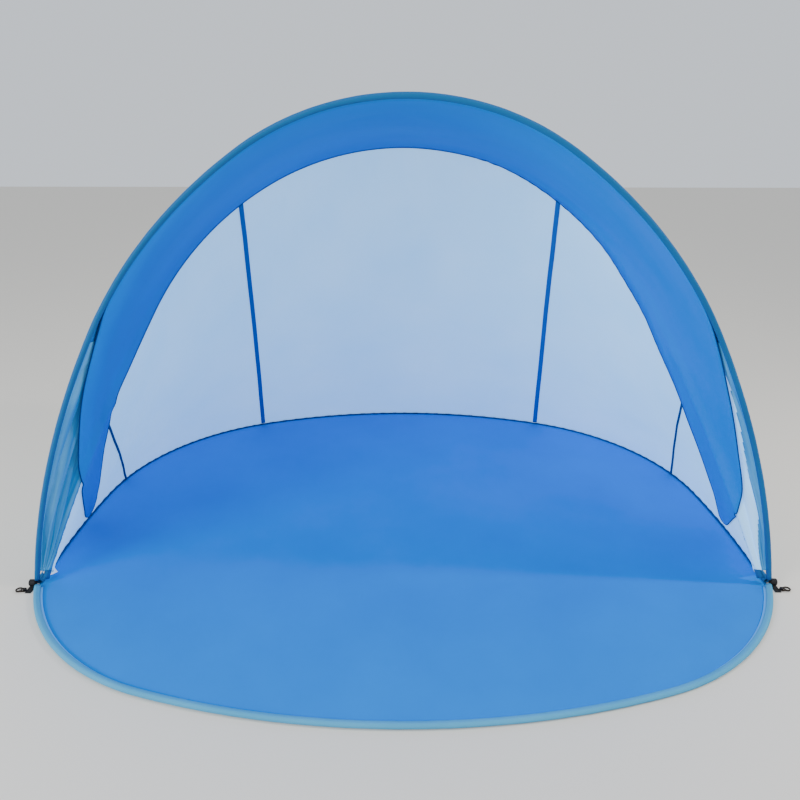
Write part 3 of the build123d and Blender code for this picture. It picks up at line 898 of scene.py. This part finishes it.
TAPES = {
    "long_seam_tape_left": (SEAMS_TOP[2], 0.015, TAPE_BLUE),
    "long_seam_tape_right": (SEAMS_TOP[3], 0.015, TAPE_BLUE),
    "short_seam_tape_left": (SEAMS_TOP[1], 0.010, TAPE_NAVY),
    "short_seam_tape_right": (SEAMS_TOP[4], 0.010, TAPE_NAVY),
}
for name, (top, width, material) in TAPES.items():
    length = (canopy_at(top, 1) - canopy_at(top, 2)).length

    def place(s, t, top=top, width=width):
        return tape_place(top, s * 2 - 1, t, width)

    tape, area = sheet_piece(f"{name}_cloth", place, (width, length), (6, 110), [material], TAPE_THICK)
    fold_with_arches(tape)
    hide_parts(name)

# ---- Stitching ----------------------------------------------------------------------------------
# Lockstitch holds the tapes, the band and the back edge in blue thread, and the hem in pale thread: each
# stitch is a short raised bar.
STITCH_PITCH = 0.0042
STITCH_LENGTH = 0.0028
STITCH_WIDTH = 0.0007
STITCH_HEIGHT = 0.0006
THREAD_PALE = cloth("pale thread", (150, 200, 238), (130, 184, 228), on_uv=False, crease=0.02, scale=90)
THREAD_BLUE = cloth("blue thread", (58, 150, 232), (46, 134, 218), on_uv=False, crease=0.02, scale=90)


def stitch_row(bm, route, up_at, length):
    """Stitches along a route: route(s) is a point and up_at(s) the way out of the cloth."""
    count = int(length / STITCH_PITCH)
    for i in range(count):
        s = (i + 0.5) / count
        here = route(s)
        ahead = (route(min(1, s + 0.5 / count)) - route(max(0, s - 0.5 / count))).normalized()
        up = up_at(s)
        side = up.cross(ahead).normalized()
        up = ahead.cross(side)
        turn = Matrix((ahead, side, up)).transposed().to_4x4()
        size = Matrix.Diagonal((STITCH_LENGTH, STITCH_WIDTH, STITCH_HEIGHT, 1))
        made = bmesh.ops.create_cube(bm, size=1, matrix=Matrix.Translation(here) @ turn @ size)
        for vert in made["verts"]:
            if (vert.co - here).dot(up) > 0:
                vert.co -= ahead * (vert.co - here).dot(ahead) * 0.35


band_thread = bmesh.new()
for across in (0.028, 0.972):
    for first, last in ((0.02, 0.5), (0.5, 0.98)):
        def route(s, across=across, first=first, last=last):
            return band_place(first + (last - first) * s, across, BAND_CLOTH)

        def away(s, across=across, first=first, last=last):
            along = first + (last - first) * s
            sideways = band_place(along, min(1, across + 0.01)) - band_place(along, max(0, across - 0.01))
            onward = band_place(min(1, along + 0.001), across) - band_place(max(0, along - 0.001), across)
            up = sideways.cross(onward).normalized()
            return up if up.dot(INSIDE - band_place(along, across)) > 0 else -up

        stitch_row(band_thread, route, away, BAND_HALF_EDGE)
band_stitches = place_piece("band_stitching", band_thread, [THREAD_BLUE], smooth=False)
fold_with_arches(band_stitches)

tape_thread = bmesh.new()
for top, width, _ in TAPES.values():
    for across in (-0.72, 0.72):
        def route(s, top=top, width=width, across=across):
            return tape_place(top, across, 0.01 + 0.98 * s, width, TAPE_THICK * 0.3)

        def away(s, top=top):
            return canopy_normal(top, 1.01 + 0.98 * s)

        stitch_row(tape_thread, route, away, (canopy_at(top, 1) - canopy_at(top, 2)).length)
tape_stitches = place_piece("tape_stitching", tape_thread, [THREAD_BLUE], smooth=False)
fold_with_arches(tape_stitches)


def upwards(s):
    return Vector((0, 0, 1))


hem_thread = bmesh.new()
hem_row = front_edge(FLOOR_CLOTH + HEM_LIFT * 2.5, SLEEVE_RADIUS + HEM_WIDTH * 0.55)
stitch_row(hem_thread, lambda s: on(hem_row, 0.01 + 0.98 * s), upwards, 2 * hem_row["half"])
hem_stitches = place_piece("hem_stitching", hem_thread, [THREAD_PALE], smooth=False)
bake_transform(hem_stitches)
back_thread = bmesh.new()
back_row = back_edge(FLOOR_CLOTH + 0.0006, SLEEVE_RADIUS + 0.014)
stitch_row(back_thread, lambda s: on(back_row, 0.02 + 0.96 * s), upwards, 2 * back_row["half"])
back_stitches = place_piece("back_edge_stitching", back_thread, [THREAD_BLUE], smooth=False)
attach(back_stitches, "ground")

# ---- Tabs, peg rings and label ------------------------------------------------------------------
# Black webbing is wrapped round the joint of the hoops at each front corner and sewn on at the foot
# of each long seam; a narrow loop of it holds a steel peg ring. A blank white care label is sewn in
# at the left corner.
TAB_WIDTH = 0.016
TAB_LENGTH = 0.044
TAB_THICK = 0.0012
TAB_SHIFT = 0.012
TAB_CLEAR = 0.003
ROLL_RADIUS = 0.0084
LOOP_WIDTH = 0.008
LOOP_RADIUS = 0.0034
LOOP_X = 0.02005
LOOP_HEIGHT = 0.00405
LONG_SEAM_FOOT = 0.34


def webbing(name):
    """Ribbed black polyester webbing."""
    material, nodes, link, surface, place = start_material(name, 0.3)
    ribs = nodes.new("ShaderNodeTexWave")
    ribs.bands_direction = "Y"
    ribs.inputs["Scale"].default_value = 260
    ribs.inputs["Distortion"].default_value = 1.5
    ribs.inputs["Detail Scale"].default_value = 4
    link(place.outputs["Object"], ribs.inputs["Vector"])
    link(mix_paints(nodes, link, ribs.outputs[1], (14, 14, 16), (34, 34, 38)), surface.inputs["Base Color"])
    link(spread_range(nodes, link, ribs.outputs[1], "To", 0.6, 0.8), surface.inputs["Roughness"])
    link(add_bump(nodes, link, ribs.outputs[1], 0.6, 0.0004), surface.inputs["Normal"])
    return material


def add_strip(bm, start, across, runs):
    """A strip of tape: an edge as wide as the tape, pushed along straight runs and spun round bends."""
    verts = [bm.verts.new(Vector(start)), bm.verts.new(Vector(start) + Vector(across))]
    last = [*verts, bm.edges.new(verts)]
    for kind, value, turn, steps in runs:
        if kind == "run":
            for _ in range(steps):
                edges = [item for item in last if isinstance(item, bmesh.types.BMEdge)]
                made = bmesh.ops.extrude_edge_only(bm, edges=edges)["geom"]
                last = [item for item in made if not isinstance(item, bmesh.types.BMFace)]
                moved = [item for item in last if isinstance(item, bmesh.types.BMVert)]
                last = moved + [edge for edge in last if isinstance(edge, bmesh.types.BMEdge)
                                and all(vert in moved for vert in edge.verts)]
                bmesh.ops.translate(bm, verts=moved, vec=Vector(value) / steps)
        else:
            spun = bmesh.ops.spin(bm, geom=last, cent=value, axis=across, angle=turn, steps=steps)
            last = spun["geom_last"]


def tab_bmesh(loop_y, with_roll):
    """A tab in its own frame: x away from the floor, the tape loop at loop_y."""
    bm = bmesh.new()
    half = TAB_THICK / 2
    if with_roll:
        add_strip(bm, (0, -TAB_SHIFT - TAB_LENGTH / 2, half), (TAB_WIDTH, 0, 0), [
            ("run", (0, TAB_LENGTH / 2 + TAB_SHIFT, 0), 0, 8),
            ("bend", (0, 0, HINGE_HEIGHT), radians(330), 28),
        ])
        for vert in bm.verts:
            if vert.co.y > -0.002 or vert.co.z > 0.002:
                out = vert.co - Vector((vert.co.x, 0, HINGE_HEIGHT))
                vert.co -= out.normalized() * max(0, out.length - ROLL_RADIUS) * min(1, vert.co.z / 0.004)
    else:
        add_strip(bm, (0, -TAB_LENGTH / 2, half), (TAB_WIDTH, 0, 0), [("run", (0, TAB_LENGTH, 0), 0, 10)])
    start = (LOOP_X, loop_y - LOOP_WIDTH / 2, LOOP_HEIGHT - LOOP_RADIUS)
    add_strip(bm, start, (0, LOOP_WIDTH, 0), [("bend", (LOOP_X, loop_y, LOOP_HEIGHT), tau, 24)])
    add_strip(bm, (TAB_WIDTH - 0.004, loop_y - LOOP_WIDTH / 2, half + TAB_THICK), (0, LOOP_WIDTH, 0), [
        ("run", (0.0065, 0, -TAB_THICK * 0.8), 0, 4)])
    bmesh.ops.remove_doubles(bm, verts=bm.verts, dist=0.00001)
    bmesh.ops.recalc_face_normals(bm, faces=bm.faces)
    return bm


def put_tab(name, node, place, loop_y, with_roll, turned):
    bm = tab_bmesh(loop_y, with_roll)
    if turned:
        bmesh.ops.scale(bm, vec=(1, -1, 1), verts=bm.verts)
        bmesh.ops.reverse_faces(bm, faces=bm.faces)
    bm.transform(place)
    piece = place_piece(name, bm, [BLACK_WEBBING])
    thicken(piece, TAB_THICK, offset=0)
    soften = piece.modifiers.new("soft edges", "BEVEL")
    soften.width = 0.0003
    soften.segments = 2
    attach(piece, "ground")
    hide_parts(node)


def facing(origin, outward):
    """A frame with x pointing outwards on the ground and z up."""
    x = Vector(outward).normalized()
    matrix = Matrix((x, Vector((0, 0, 1)).cross(x), Vector((0, 0, 1)))).transposed().to_4x4()
    matrix.translation = origin
    return matrix


BLACK_WEBBING = webbing("black webbing")
BLACK_STEEL = metal("blackened steel", (62, 48, 40), (30, 26, 26), 0.42)
tab_start = (SLEEVE_RADIUS ** 2 - (SLEEVE_RADIUS - TAB_THICK) ** 2) ** 0.5
for side, name in ((-1, "left"), (1, "right")):
    corner = facing((side * (HALF_WIDTH + TAB_CLEAR), 0, 0), (side, 0, 0))
    put_tab(f"corner_tab_{name}_webbing", f"corner_tab_{name}", corner, -0.024, True, side < 0)
    edge = back_edge(0)
    share = LONG_SEAM_FOOT if side < 0 else 1 - LONG_SEAM_FOOT
    ahead = on(edge, share + 0.001) - on(edge, share - 0.001)
    outward = Vector((-ahead.y, ahead.x, 0)).normalized()
    rear = facing(on(edge, share) + outward * tab_start, outward)
    put_tab(f"rear_tab_{name}_webbing", f"rear_tab_{name}", rear, 0, False, False)
    keep_node(f"corner_peg_ring_{name}", BLACK_STEEL)
    keep_node(f"rear_peg_ring_{name}", BLACK_STEEL)

LABEL_WIDTH = 0.032
LABEL_DEPTH = 0.020
LABEL_SHIFT = Vector((-0.010, 0.004, 0.004))
label_low, label_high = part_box("care_label")
LABEL_MIDDLE = (label_low + label_high) / 2 + LABEL_SHIFT
# The label gives off a little of its own colour: painted light that makes it brighter than the lamps alone
# would.
LABEL_WHITE = cloth("label white", (244, 246, 250), (232, 236, 244), crease=0.04, scale=60, painted_glow=0.05)
label_turn = Matrix.Rotation(radians(50), 4, "Z") @ Matrix.Rotation(radians(25), 4, "X")


def label_place(s, t):
    """A small label that curls up along its free edge."""
    curl = 0.0022 * (t - 0.5) ** 2 * 4 + 0.0008 * sin(pi * 2 * s)
    local = Vector(((s - 0.5) * LABEL_WIDTH, (t - 0.5) * LABEL_DEPTH, curl))
    return LABEL_MIDDLE + label_turn.to_3x3() @ local


label, _ = sheet_piece("blank_care_label", label_place, (LABEL_WIDTH, LABEL_DEPTH), (16, 10),
                       [LABEL_WHITE], 0.0004)
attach(label, "ground")
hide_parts("care_label")
